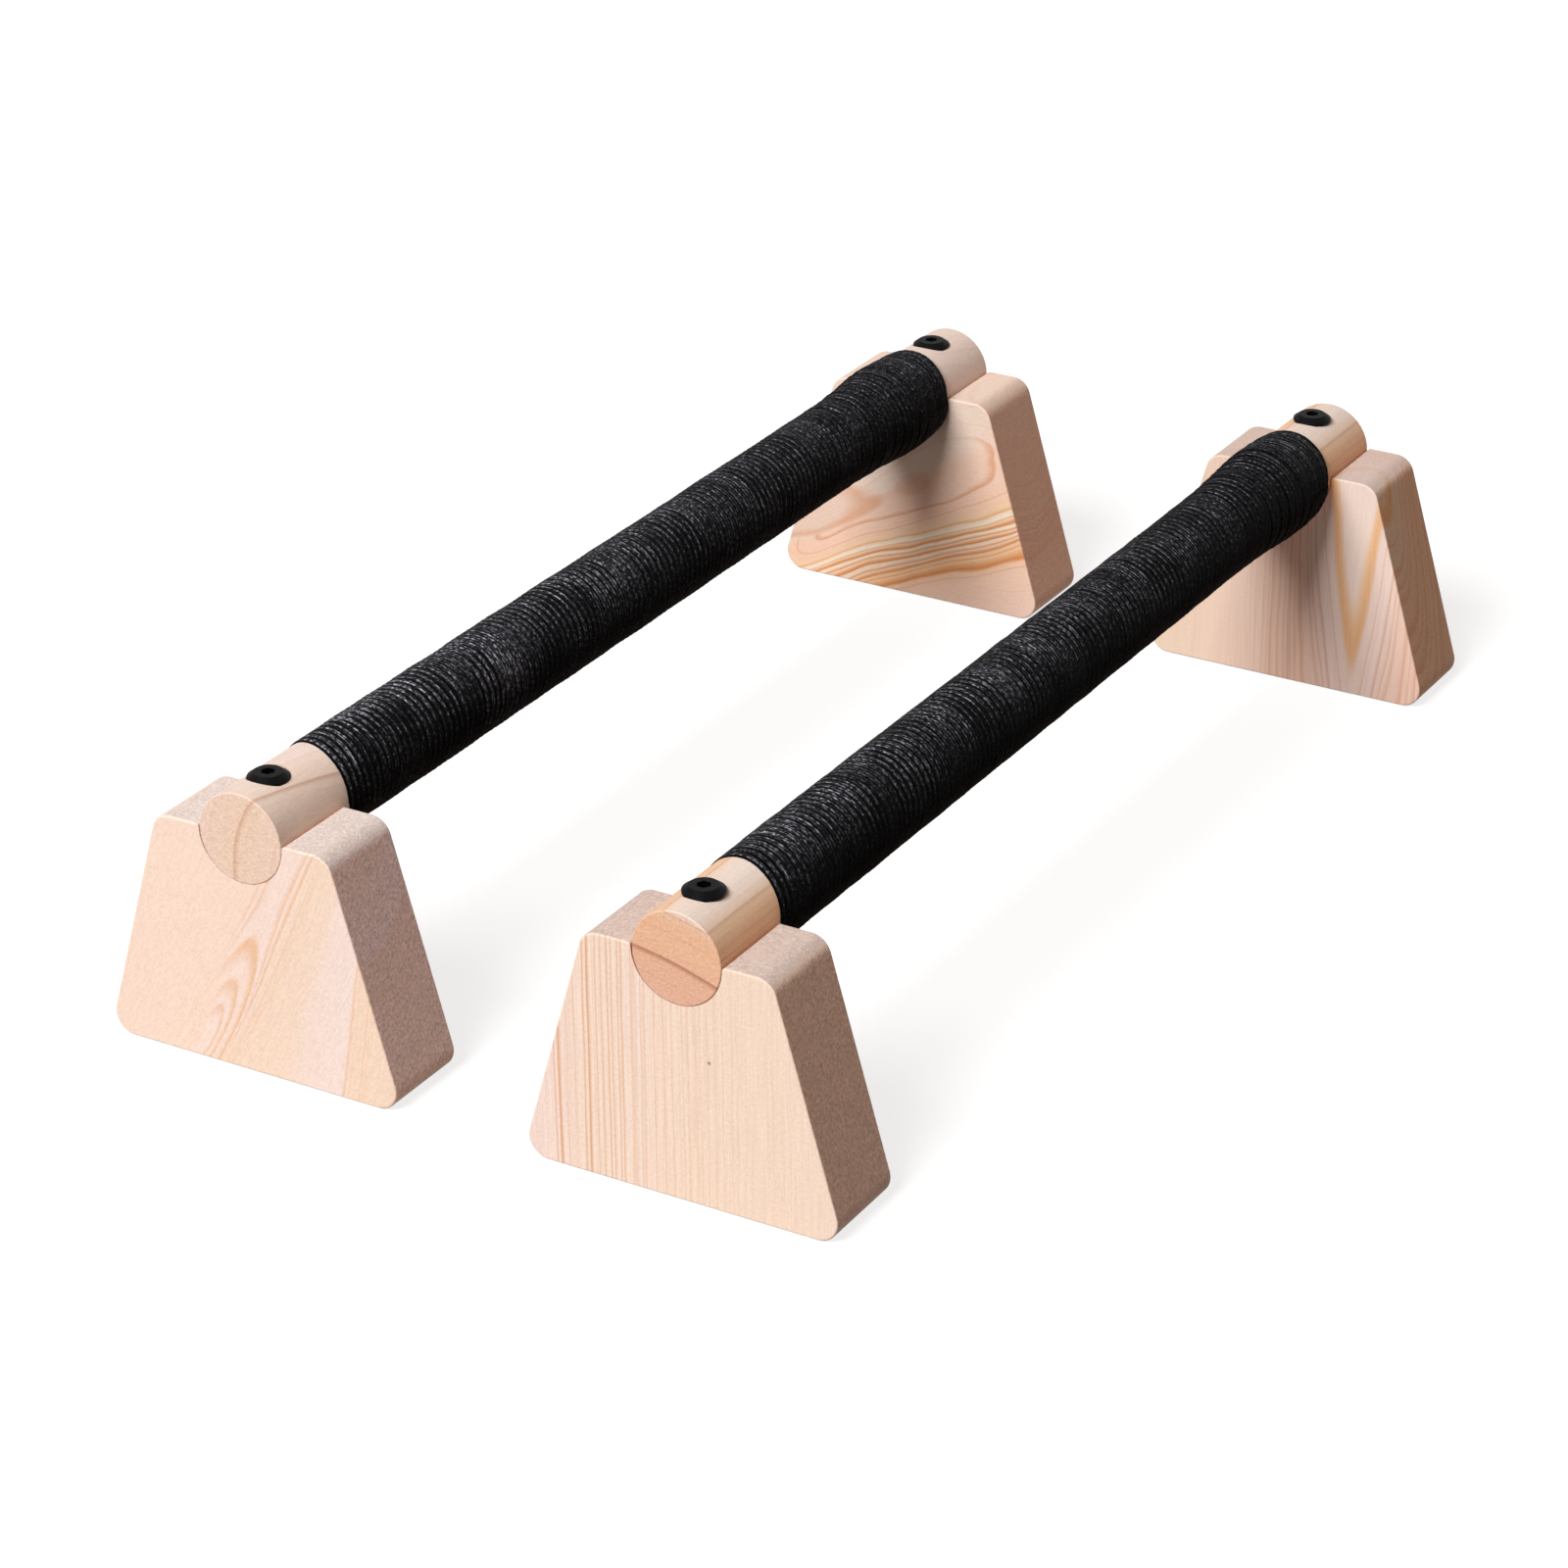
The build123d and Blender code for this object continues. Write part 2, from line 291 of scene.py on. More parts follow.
        # away from this side of the pith the wood is plainer and the lines fade
        towards, plain, left_over = lee
        aim = frame_turn.inverted() @ Vector(towards).normalized()
        turned = add_node(tree, "ShaderNodeVectorMath", {0: across}, operation="NORMALIZE")
        turned = add_node(tree, "ShaderNodeVectorMath", {0: turned, 1: aim}, operation="DOT_PRODUCT")
        away = add_node(tree, "ShaderNodeMapRange", {
            "Value": turned.outputs["Value"], "From Min": -0.15, "From Max": -0.75},
            interpolation_type="SMOOTHSTEP")
        keep = add_node(tree, "ShaderNodeMapRange", {"Value": away, "To Min": 1.0, "To Max": left_over})
        line = add_node(tree, "ShaderNodeMath", {0: line, 1: keep}, operation="MULTIPLY")
        body = add_node(tree, "ShaderNodeMix", {
            "Factor": away, "A": body, "B": hex_colour(plain)}, data_type="RGBA").outputs["Result"]
    for centre, half_sizes, lean, hollow, deep in tips:
        inside = add_node(tree, "ShaderNodeMapping", {
            "Vector": place.outputs["Object"], "Location": Vector(centre) * MM,
            "Rotation": (0, -math.radians(lean), 0), "Scale": Vector(half_sizes) * MM}, vector_type="TEXTURE")
        inside = add_node(tree, "ShaderNodeVectorMath", {
            0: drift, 1: (1.1,) * 3, 2: inside}, operation="MULTIPLY_ADD")
        inside = add_node(tree, "ShaderNodeVectorMath", {0: inside}, operation="LENGTH")
        middle = deep * (1 - hollow)
        inside = add_node(tree, "ShaderNodeValToRGB", {"Fac": inside.outputs["Value"]}, stops=[
            (0.0, middle), (1.0, 0.0), (0.55, middle), (0.82, deep)])
        line = add_node(tree, "ShaderNodeMath", {0: line, 1: inside}, operation="MAXIMUM")
    figured = add_node(tree, "ShaderNodeMix", {
        "Factor": line, "A": body, "B": hex_colour(late)}, data_type="RGBA")

    # faces cut across the fibres are greyer and pitted; sawn slopes are rougher and browner
    facing = add_node(tree, "ShaderNodeNewGeometry").outputs["Normal"]
    ends = add_node(tree, "ShaderNodeVectorMath", {0: facing, 1: grain}, operation="DOT_PRODUCT")
    ends = add_node(tree, "ShaderNodeMath", {0: ends.outputs["Value"]}, operation="ABSOLUTE")
    ends = add_node(tree, "ShaderNodeMapRange", {
        "Value": ends, "From Min": END_FROM, "From Max": END_FULL}, interpolation_type="SMOOTHSTEP")
    ended = add_node(tree, "ShaderNodeMath", {0: ends, 1: end_share}, operation="MULTIPLY")
    cut = add_node(tree, "ShaderNodeMix", {
        "Factor": ended, "A": figured.outputs["Result"], "B": hex_colour(end_tint)}, data_type="RGBA")
    uncut = add_node(tree, "ShaderNodeMath", {0: ends, 1: 0.5}, operation="MULTIPLY")
    if sawn_tint:
        slope = add_node(tree, "ShaderNodeSeparateXYZ", {0: facing})
        slope = add_node(tree, "ShaderNodeMath", {0: slope.outputs["X"]}, operation="ABSOLUTE")
        slope = add_node(tree, "ShaderNodeMapRange", {
            "Value": slope, "From Min": SLOPE_FROM, "From Max": SLOPE_FULL},
            interpolation_type="SMOOTHSTEP")
        cut = add_node(tree, "ShaderNodeMix", {
            "Factor": slope, "A": cut.outputs["Result"], "B": hex_colour(sawn_tint)}, data_type="RGBA",
            blend_type="MULTIPLY")
        uncut = add_node(tree, "ShaderNodeMath", {0: uncut, 1: slope}, operation="MAXIMUM")

    # fibres drawn out along the grain, the fuzz that sanding leaves, and open pores
    drawn = add_node(tree, "ShaderNodeMapping", {"Vector": bent, "Scale": FIBRES_PER_MM})
    threads = add_node(tree, "ShaderNodeTexNoise", {
        "Vector": drawn, "Scale": 1.0, "Detail": 2.5, "Roughness": 0.6})
    grit = add_node(tree, "ShaderNodeTexNoise", {
        "Vector": local, "Scale": FUZZ_PER_MM, "Detail": 3.0, "Roughness": 0.75})
    thread_tone = add_node(tree, "ShaderNodeMapRange", {
        "Value": threads, "From Min": 0.3, "From Max": 0.7, "To Min": 1 - fibre, "To Max": 1 + 0.6 * fibre})
    grit_low = add_node(tree, "ShaderNodeMapRange", {
        "Value": uncut, "To Min": 1 - fuzz, "To Max": 1 - 4.0 * fuzz})
    grit_high = add_node(tree, "ShaderNodeMapRange", {
        "Value": uncut, "To Min": 1 + 0.8 * fuzz, "To Max": 1 + 3.4 * fuzz})
    grit_tone = add_node(tree, "ShaderNodeMapRange", {
        "Value": grit, "From Min": 0.32, "From Max": 0.68, "To Min": grit_low, "To Max": grit_high})
    tone = add_node(tree, "ShaderNodeMath", {0: thread_tone, 1: grit_tone}, operation="MULTIPLY")
    toned = add_node(tree, "ShaderNodeVectorMath", {
        0: cut.outputs["Result"], "Scale": tone}, operation="SCALE")
    for centre, across_pit in pits:
        off = add_node(tree, "ShaderNodeVectorMath", {
            0: place.outputs["Object"], 1: Vector(centre) * MM}, operation="DISTANCE")
        inside = add_node(tree, "ShaderNodeMapRange", {
            "Value": off.outputs["Value"], "From Min": 0.6 * across_pit * MM,
            "From Max": 0.2 * across_pit * MM, "To Max": 0.75})
        toned = add_node(tree, "ShaderNodeMix", {
            "Factor": inside, "A": toned, "B": hex_colour(PIT_COLOUR)}, data_type="RGBA").outputs["Result"]

    relief = add_node(tree, "ShaderNodeMath", {0: line, 1: 0.4, 2: threads}, operation="MULTIPLY_ADD")
    rough_more = add_node(tree, "ShaderNodeMath", {0: uncut, 1: 1.4, 2: 0.7}, operation="MULTIPLY_ADD")
    relief = add_node(tree, "ShaderNodeMath", {0: grit, 1: rough_more, 2: relief}, operation="MULTIPLY_ADD")
    bump = add_node(tree, "ShaderNodeBump", {"Height": relief, "Strength": 0.55, "Distance": WOOD_RELIEF})
    dull = add_node(tree, "ShaderNodeMapRange", {
        "Value": threads, "To Min": roughness - 0.06, "To Max": roughness + 0.08})
    wood = add_node(tree, "ShaderNodeBsdfPrincipled", {
        "Base Color": toned, "Roughness": dull, "Normal": bump, "IOR": 1.46, "Specular IOR Level": 0.35})
    add_node(tree, "ShaderNodeOutputMaterial", {"Surface": wood})
    return material


def in_foot(side, end, x, deep, z):
    """A point of a foot, from its middle, how deep behind its near face, and its height."""
    return (AXIS_X[side] + x, END_FACE[end] + deep, z)


feet = {
    # cut just off the heart of a leaning stem: three small arches and two slanting lines
    "left_near_foot": growth_ring_wood(
        "sanded pine, arched",
        pith=in_foot("left", "near", 0.3, 8.7, 50), along=(0.52, 0.15, 1),
        sweep=(-0.0008, -0.00102, 0),
        leans=[(-0.055, 9.9, 11.2), (0.37, 16, 45)],
        zones=[(0, "#FDE3D6"), (9.7, "#FDE0D0"), (11.5, "#FDE4DA"), (12.6, "#FCDFCC"), (16, "#FBDEC8"),
               (28, "#FBDEC8"), (34, "#FBE1D3"), (49.5, "#FCE4DA"), (52.5, "#FBDDC6"), (90, "#FBDEC8")],
        late="#EFB986", year=1.15,
        years_show=[(0, 0.0), (13.4, 0.0), (14.2, 0.4), (22, 0.36), (27, 0.15), (31, 0.0), (47, 0.05),
                    (52, 0.35), (90, 0.25)],
        rings=[(3.9, 1.2, 0.6), (6.35, 1.5, 0.7), (9.7, 1.8, 0.8), (11.5, 0.8, 0.65), (12.7, 0.8, 0.8),
               (15.6, 0.6, 0.45), (17.6, 0.6, 0.4), (51.6, 1.3, 0.6), (58.5, 0.9, 0.5)],
        lee=((1, 0, 0), "#FEE0CC", 0.12), wander=(0.35, 20), end_tint="#E8DAD3", sawn_tint="#FFF4F6",
        fuzz=0.085, seed=3.1),
    # quarter sawn: straight upright lines, bold on the left and faint on the right
    "right_near_foot": growth_ring_wood(
        "sanded pine, quarter sawn",
        pith=in_foot("right", "near", 130, 40, 50), along=(0, 0, 1),
        zones=[(65, "#FADFCB"), (100, "#FADEC8"), (125, "#FADFC9"), (146, "#FBE0CC"), (152, "#FCE4D5"),
               (156, "#FBE2D0"), (158, "#FBE2CF"), (175, "#FBE1CE"), (186, "#FCE2D4"), (195, "#FCE2D5")],
        late="#E2A372", year=1.9,
        years_show=[(65, 0.05), (108, 0.12), (118, 0.2), (146, 0.22), (158, 0.3), (195, 0.35)],
        rings=[(115.0, 0.7, 0.2), (121.7, 0.7, 0.28), (124.6, 0.7, 0.32), (127.4, 0.7, 0.28),
               (129.3, 0.7, 0.32), (132.2, 0.7, 0.35), (134.4, 0.7, 0.3), (138.5, 0.8, 0.38),
               (141.8, 0.8, 0.4), (145.6, 0.8, 0.42), (149.6, 0.8, 0.45), (151.1, 0.8, 0.4),
               (154.9, 2.0, 0.4), (158.7, 0.9, 0.75), (160.1, 0.9, 0.6), (162.7, 0.9, 0.65),
               (164.4, 0.9, 0.7), (166.9, 0.9, 0.6), (169.3, 0.9, 0.55), (172.7, 1.3, 0.95),
               (174.6, 0.9, 0.7), (178.5, 0.9, 0.4), (182.0, 0.9, 0.4), (185.4, 1.5, 0.95),
               (187.3, 0.9, 0.7)],
        wander=(0.35, 24), end_tint="#D6C1B7", sawn_tint="#DAC9C2", fibre=0.07, fuzz=0.085, seed=7.7,
        pits=[(in_foot("right", "near", 13, 0, 60), 1.6), (in_foot("right", "near", 50.5, 15, 62), 1.8)]),
    # the grain lies across the foot: a wide loop above, bold orange lines below
    "left_far_foot": growth_ring_wood(
        "sanded pine, looped",
        pith=in_foot("left", "far", 0, 1, 53.8), along=(1, 0.25, 0.6),
        sweep=(0, 0.0036, -0.0013),
        leans=[(-0.165, -2, -1)],
        zones=[(-4, "#F9D1B8"), (11, "#FDD5BE"), (16, "#FFD3B8"), (20.6, "#FFD5B4"), (22.6, "#FAD0A4"),
               (23.6, "#FFE2C4"), (24.6, "#FFF0DC"), (25.6, "#FFDCBA"), (28.3, "#FFD8B4"),
               (28.9, "#FFEEDA"), (29.7, "#FFDAB8"), (32.6, "#FFDCBC"), (33.3, "#FFECD8"),
               (34.4, "#FFDCBE"), (40, "#FFD0A4"), (44, "#FFC99E"), (47, "#FFD4B8"), (70, "#FFDAC6")],
        late="#DA843E", year=2.3,
        years_show=[(-4, 0.0), (8, 0.04), (16, 0.1), (22, 0.2), (26, 0.25), (42, 0.3), (48, 0.12),
                    (70, 0.05)],
        rings=[(12.0, 1.8, 0.6), (17.3, 0.9, 0.35), (22.8, 1.1, 0.45), (25.9, 0.8, 0.55), (27.9, 1.8, 0.95),
               (30.3, 1.2, 0.75), (32.4, 1.9, 1.0), (35.0, 1.4, 0.75), (37.4, 2.1, 0.95), (39.9, 1.3, 0.6),
               (44.5, 4.0, 0.9), (48.0, 1.2, 0.35)],
        tips=[(in_foot("left", "far", -52, 0, 29), (37, 18, 12), 25, 0.7, 0.5),
              (in_foot("left", "far", 1, 0, 54), (13, 14, 5.5), 24, 0.0, 0.2)],
        lee=((0, 0, -1), "#F8DECC", 0.3), wander=(2.0, 17), end_tint="#E6C6B2", sawn_tint="#FCEAE0",
        fibre=0.04, fuzz=0.035, seed=1.3),
    # upright lines with one broad V of yellow late wood on the right
    "right_far_foot": growth_ring_wood(
        "sanded pine, with a V",
        pith=in_foot("right", "far", 32.3, 4, 50), along=(0, 0, 1),
        leans=[(-0.13, -2, -1), (0.13, 15, 30)],
        zones=[(-5, "#FCE3D6"), (3.6, "#FCE0D0"), (5.2, "#FACAA0"), (6.6, "#F6BE8C"), (7.8, "#F6C092"),
               (9.2, "#FCDED0"), (16, "#FFE1D4"), (26, "#FFD6C0"), (45, "#FEDAC6"), (78, "#F6D7C0"),
               (100, "#F8DCC2")],
        late="#DA9068", year=2.7,
        years_show=[(-5, 0.0), (10.5, 0.0), (12, 0.2), (18, 0.4), (40, 0.5), (50, 0.25), (62, 0.08),
                    (100, 0.04)],
        rings=[(12.5, 1.0, 0.35), (17.6, 1.3, 0.5), (22.4, 1.3, 0.4), (26.5, 1.6, 0.45), (31.0, 1.8, 0.45),
               (36.0, 1.6, 0.4), (41.0, 1.4, 0.3)],
        wander=(0.8, 20), end_tint="#D8C1B6", sawn_tint="#D2C1A8", fibre=0.05, fuzz=0.035, seed=5.2),
}
for name, material in feet.items():
    NODES[name].material_slots[0].material = material

# ------------------------------------------------------------------ bars
# Two turned beech dowels, 37 mm thick and sanded smooth. One has a slanting reddish
# ring near its heart; the other is half sapwood and half yellow-brown heartwood.

BAR_HEIGHT = 98.6
dowels = {
    # almost white along its length, a soft brown ring down its pitted end
    "left_dowel": growth_ring_wood(
        "sanded beech, pale",
        pith=(AXIS_X["left"] + 51.7, -275, BAR_HEIGHT - 14), along=(0.25, 1, 0),
        zones=[(0, "#F5DECF"), (40, "#F5DECE"), (54, "#F5DCC9"), (70, "#F7E1D4"), (200, "#F5DECF")],
        late="#B97A5C", year=5.0,
        years_show=[(0, 0.1), (60, 0.12), (200, 0.12)],
        rings=[(54.0, 2.2, 0.54)],
        wander=(0.4, 26), end_tint="#E8AE84", end_share=0.3, fibre=0.04, fuzz=0.055, seed=2.2,
        roughness=0.58),
    # cream above and peach below, with a dark ring across a pinker end
    "right_dowel": growth_ring_wood(
        "sanded beech, heartwood",
        pith=(AXIS_X["right"] - 40, -275, BAR_HEIGHT - 160), along=(0, 1, 0),
        zones=[(120, "#EFBFA2"), (158, "#F2BE9C"), (164, "#F6C49C"), (176, "#F8C69C"), (180.2, "#F6CCA8"),
               (183.2, "#F6E3D4"), (200, "#F6E6DB")],
        late="#94502F", year=4.2,
        years_show=[(120, 0.16), (160, 0.16), (179, 0.16), (182, 0.08), (200, 0.08)],
        rings=[(163.0, 2.4, 0.8), (181.2, 0.9, 0.3)],
        wander=(0.25, 30), end_tint="#CF9388", end_share=0.25, fibre=0.04, fuzz=0.055, seed=4.4,
        roughness=0.58),
}
for name, material in dowels.items():
    NODES[name].material_slots[0].material = material

# ------------------------------------------------------------------ bolts
# Furniture bolts with a low bevelled head and a hexagon socket, in steel with a black
# finish. They pass down through the bar's ends and hold it in the feet.

GRAINS_PER_METRE, CLOUDS_PER_METRE = 900.0, 130.0
FINISH_RELIEF = 0.03 * MM

# nearly black and satin, with one soft light along the bevel; its grain is coarse enough to show
blackened = bpy.data.materials.new("steel, black zinc finish")
tree = new_tree(blackened)
place = add_node(tree, "ShaderNodeTexCoord")
grain = add_node(tree, "ShaderNodeTexNoise", {
    "Vector": place.outputs["Object"], "Scale": GRAINS_PER_METRE, "Detail": 3.0})
cloud = add_node(tree, "ShaderNodeTexNoise", {
    "Vector": place.outputs["Object"], "Scale": CLOUDS_PER_METRE, "Detail": 2.0})
shade = add_node(tree, "ShaderNodeMix", {
    "Factor": cloud, "A": hex_colour("#020203"), "B": hex_colour("#070709")}, data_type="RGBA")
dull = add_node(tree, "ShaderNodeMapRange", {"Value": grain, "To Min": 0.34, "To Max": 0.60})
bump = add_node(tree, "ShaderNodeBump", {"Height": grain, "Strength": 0.2, "Distance": FINISH_RELIEF})
steel = add_node(tree, "ShaderNodeBsdfPrincipled", {
    "Base Color": shade.outputs["Result"], "Metallic": 0.0, "Roughness": dull,
    "Normal": bump, "Specular IOR Level": 0.07})
add_node(tree, "ShaderNodeOutputMaterial", {"Surface": steel})
for side in ("left", "right"):
    for end in ("near", "far"):
        bolt = NODES[f"{side}_{end}_bolt"]
        bolt.material_slots[0].material = blackened

# ------------------------------------------------------------------ inserts
# Threaded inserts in zinc-plated steel, pressed into each foot under the bar. They are
# out of sight, and each bolt pulls its bar down onto the foot by one of them.

SPANGLES_PER_METRE = 700.0

# bright grey metal, its plating faintly spangled
plated = bpy.data.materials.new("steel, zinc plated")
tree = new_tree(plated)
place = add_node(tree, "ShaderNodeTexCoord")
spangle = add_node(tree, "ShaderNodeTexVoronoi", {
    "Vector": place.outputs["Object"], "Scale": SPANGLES_PER_METRE})
shade = add_node(tree, "ShaderNodeMix", {
    "Factor": spangle.outputs["Color"], "A": hex_colour("#A8A69E"), "B": hex_colour("#C9C8C4")},
    data_type="RGBA")
zinc = add_node(tree, "ShaderNodeBsdfPrincipled", {
    "Base Color": shade.outputs["Result"], "Metallic": 1.0, "Roughness": 0.38})
add_node(tree, "ShaderNodeOutputMaterial", {"Surface": zinc})
for side in ("left", "right"):
    for end in ("near", "far"):
        insert = NODES[f"{side}_{end}_insert"]
        insert.material_slots[0].material = plated

# ------------------------------------------------------------------ grip wraps
# A black elastic strip with raised cords along it, wound round the bar from the near
# foot to the far one. Each turn lies two thirds over the last, and the last turns pile up.

STRIP_WIDTH = 44.2 * MM
STRIP_CORDS = 12
CORD_HEIGHT = 0.28 * MM
STRIP_BODY = 0.06 * MM
TURNS = 33
STEPS_PER_TURN = 36
POINTS_PER_CORD = 5
UNDERSIDE_POINTS = 8
LAYER_TIGHT = 0.05 * MM
LAYER_SLACK = 0.56 * MM
MOST_LAYERS = 9
DRAPE = 2.2 * MM
LUMPS = 0.35 * MM
LUMPS_PER_METRE = 60.0
WOBBLE = 9.0 * MM
WOBBLES_PER_TURN = 0.85
BORE_CLEARANCE = 0.05 * MM

# beads, bare patches and mottles: how many to a metre of strip, and to a cord
BEADS = (560.0, 1.9, 1.0)
PATCHES = (22.0, 0.13, 1.0)
MOTTLES = (150.0, 0.5, 1.0)
STRAYS_PER_METRE = 900.0
CORD_SHARPNESS = 7.0
KNIT_RELIEF = 0.3 * MM
# heights of the grip's shaded and its lit side, and how far along its far part is worn and paler
SHADED_AT, LIT_AT = 0.093, 0.1176
WORN_FROM, WORN_FULL = -0.10, 0.20
PALER_FROM, PALER_FULL = 0.05, 0.19

bore = {}
for side in ("left", "right"):
    low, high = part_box(f"{side}_grip_wrap")
    bar_low, bar_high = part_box(f"{side}_dowel")
    bore[side] = {
        "x": (low.x + high.x) / 2, "z": (bar_low.z + bar_high.z) / 2,
        "near": low.y, "far": high.y, "radius": (bar_high.x - bar_low.x) / 2 + BORE_CLEARANCE,
    }


def corded_webbing(name, shade, deep_shade, far_cords, far_light):
    """Black elastic webbing. Shade is the painted shade, its tone low and high on the bar, and deep_shade
    how fast it falls between them; at the far end far_cords of the cords' contrast and far_light are left."""
    webbing = bpy.data.materials.new(name)
    tree = new_tree(webbing)
    place = add_node(tree, "ShaderNodeTexCoord")
    strip_map = add_node(tree, "ShaderNodeUVMap", uv_map="strip")
    split = add_node(tree, "ShaderNodeSeparateXYZ", {0: strip_map})
    cord = add_node(tree, "ShaderNodeMath", {
        0: split.outputs["Y"], 1: float(STRIP_CORDS)}, operation="MULTIPLY")
    wave = add_node(tree, "ShaderNodeMath", {0: cord, 1: math.pi}, operation="MULTIPLY")
    wave = add_node(tree, "ShaderNodeMath", {0: wave}, operation="SINE")
    crest = add_node(tree, "ShaderNodeMath", {0: wave}, operation="ABSOLUTE")
    # painted highlight and shade: each cord's crest is painted bright and the gaps between cords nearly black
    cord_highlight = add_node(tree, "ShaderNodeMath", {0: crest, 1: CORD_SHARPNESS}, operation="POWER")
    # the knitted beads on a cord, about 1.8 mm long, some of them brighter than others with painted glints
    knit = add_node(tree, "ShaderNodeCombineXYZ", {"X": split.outputs["X"], "Y": cord})
    bead = add_node(tree, "ShaderNodeMapping", {"Vector": knit, "Scale": BEADS})
    bead = add_node(tree, "ShaderNodeTexNoise", {
        "Vector": bead, "Scale": 1.0, "Detail": 1.5, "Roughness": 0.6}, noise_dimensions="2D")
    bead = add_node(tree, "ShaderNodeMapRange", {"Value": bead, "From Min": 0.39, "From Max": 0.66})
    # stray fibres between the cords, and stretches where they hide the cords altogether
    stray = add_node(tree, "ShaderNodeTexNoise", {
        "Vector": place.outputs["Object"], "Scale": STRAYS_PER_METRE, "Detail": 2.0, "Roughness": 0.7})
    stray = add_node(tree, "ShaderNodeMapRange", {"Value": stray, "From Min": 0.50, "From Max": 0.72})
    worn = add_node(tree, "ShaderNodeMapping", {"Vector": knit, "Scale": PATCHES})
    worn = add_node(tree, "ShaderNodeTexNoise", {
        "Vector": worn, "Scale": 1.0, "Detail": 1.0}, noise_dimensions="2D")
    worn = add_node(tree, "ShaderNodeMapRange", {
        "Value": worn, "From Min": 0.40, "From Max": 0.62, "To Min": 1.0, "To Max": 0.55})
    # the grip is handled more towards its far end, and its cords show less there
    split_place = add_node(tree, "ShaderNodeSeparateXYZ", {0: place.outputs["Object"]})
    handled = add_node(tree, "ShaderNodeMapRange", {
        "Value": split_place.outputs["Y"], "From Min": WORN_FROM, "From Max": WORN_FULL,
        "To Min": 0.95, "To Max": far_cords})
    worn = add_node(tree, "ShaderNodeMath", {0: worn, 1: handled}, operation="MULTIPLY")
    beaded = add_node(tree, "ShaderNodeMath", {0: bead, 1: 0.65, 2: 0.35}, operation="MULTIPLY_ADD")
    beaded = add_node(tree, "ShaderNodeMath", {0: beaded, 1: cord_highlight}, operation="MULTIPLY")
    beaded = add_node(tree, "ShaderNodeMath", {0: beaded, 1: worn}, operation="MULTIPLY")
    matted = add_node(tree, "ShaderNodeMath", {0: 1.35, 1: worn}, operation="SUBTRACT")
    matted = add_node(tree, "ShaderNodeMath", {0: matted, 1: stray}, operation="MULTIPLY")
    lit = add_node(tree, "ShaderNodeMath", {0: matted, 1: 0.48, 2: beaded}, operation="MULTIPLY_ADD")
    lit = add_node(tree, "ShaderNodeMath", {0: lit, 1: 0.94, 2: 0.06}, operation="MULTIPLY_ADD")
    # the ramp's brightest stops are painted glints on the beads and cords
    yarn = add_node(tree, "ShaderNodeValToRGB", {"Fac": lit}, stops=[
        (0.0, "#040405"), (1.0, "#C8C8D0"), (0.2, "#121214"), (0.45, "#353539"), (0.75, "#7C7C84")])
    # painted shade: the yarn is darker low on the bar and lighter on top, as the light falls on it
    upward = add_node(tree, "ShaderNodeMapRange", {
        "Value": split_place.outputs["Z"], "From Min": SHADED_AT, "From Max": LIT_AT})
    upward = add_node(tree, "ShaderNodeMath", {0: upward, 1: deep_shade}, operation="POWER")
    upward = add_node(tree, "ShaderNodeMapRange", {"Value": upward, "To Min": shade[0], "To Max": shade[1]})
    paler = add_node(tree, "ShaderNodeMapRange", {
        "Value": split_place.outputs["Y"], "From Min": PALER_FROM, "From Max": PALER_FULL,
        "To Min": 1.0, "To Max": far_light})
    # slow mottling, where dust and rubbing have dulled the black
    mottle = add_node(tree, "ShaderNodeMapping", {"Vector": knit, "Scale": MOTTLES})
    mottle = add_node(tree, "ShaderNodeTexNoise", {
        "Vector": mottle, "Scale": 1.0, "Detail": 2.0, "Roughness": 0.6}, noise_dimensions="2D")
    mottle = add_node(tree, "ShaderNodeMapRange", {
        "Value": mottle, "From Min": 0.3, "From Max": 0.7, "To Min": 0.7, "To Max": 1.3})
    upward = add_node(tree, "ShaderNodeMath", {0: upward, 1: paler}, operation="MULTIPLY")
    upward = add_node(tree, "ShaderNodeMath", {0: upward, 1: mottle}, operation="MULTIPLY")
    # painted shade by height, times the paler worn far end and the mottling
    shaded_worn_yarn = add_node(tree, "ShaderNodeVectorMath", {0: yarn, "Scale": upward}, operation="SCALE")
    height = add_node(tree, "ShaderNodeMath", {0: bead, 1: 0.6, 2: crest}, operation="MULTIPLY_ADD")
    bump = add_node(tree, "ShaderNodeBump", {"Height": height, "Strength": 0.7, "Distance": KNIT_RELIEF})
    cloth = add_node(tree, "ShaderNodeBsdfPrincipled", {
        "Base Color": shaded_worn_yarn, "Roughness": 0.95, "Normal": bump, "Specular IOR Level": 0.0,
        "Sheen Weight": 0.12, "Sheen Roughness": 0.35})
    add_node(tree, "ShaderNodeOutputMaterial", {"Surface": cloth})
    return webbing


# what sets the way that the strip is wound, besides the turn
WINDING = ("Near End", "Far End", "Strip Width", "Wobble", "Seed", "Near Slant", "Near Slant From",
           "Far Rise", "Far Drop")
# the share of the way along the bar that each share of the turns has come: in place, along, in place
PACE = [(0, 0), (1, 1), (0.039, 0.004), (0.067, 0.029), (0.667, 0.696), (0.773, 0.853), (0.833, 0.909),
        (0.894, 0.947), (0.955, 0.976)]
LAST_EDGE = 0.955
# in turns: the hand's wobble sets in and dies away, the first slant is lost, the end pile rises
WOBBLE_BEGINS, WOBBLE_FULL = 1.0, 2.5
WOBBLE_FADES, WOBBLE_LEAST = TURNS - 9.0, TURNS - 4.0
SLANT_FADES, SLANT_GONE = 1.0, 3.0
PILE_BEGINS, PILE_FULL = TURNS - 10.0, TURNS - 3.0
# the sine of the angle past which the far edge is on top of the bar
TOP_FROM = 0.15


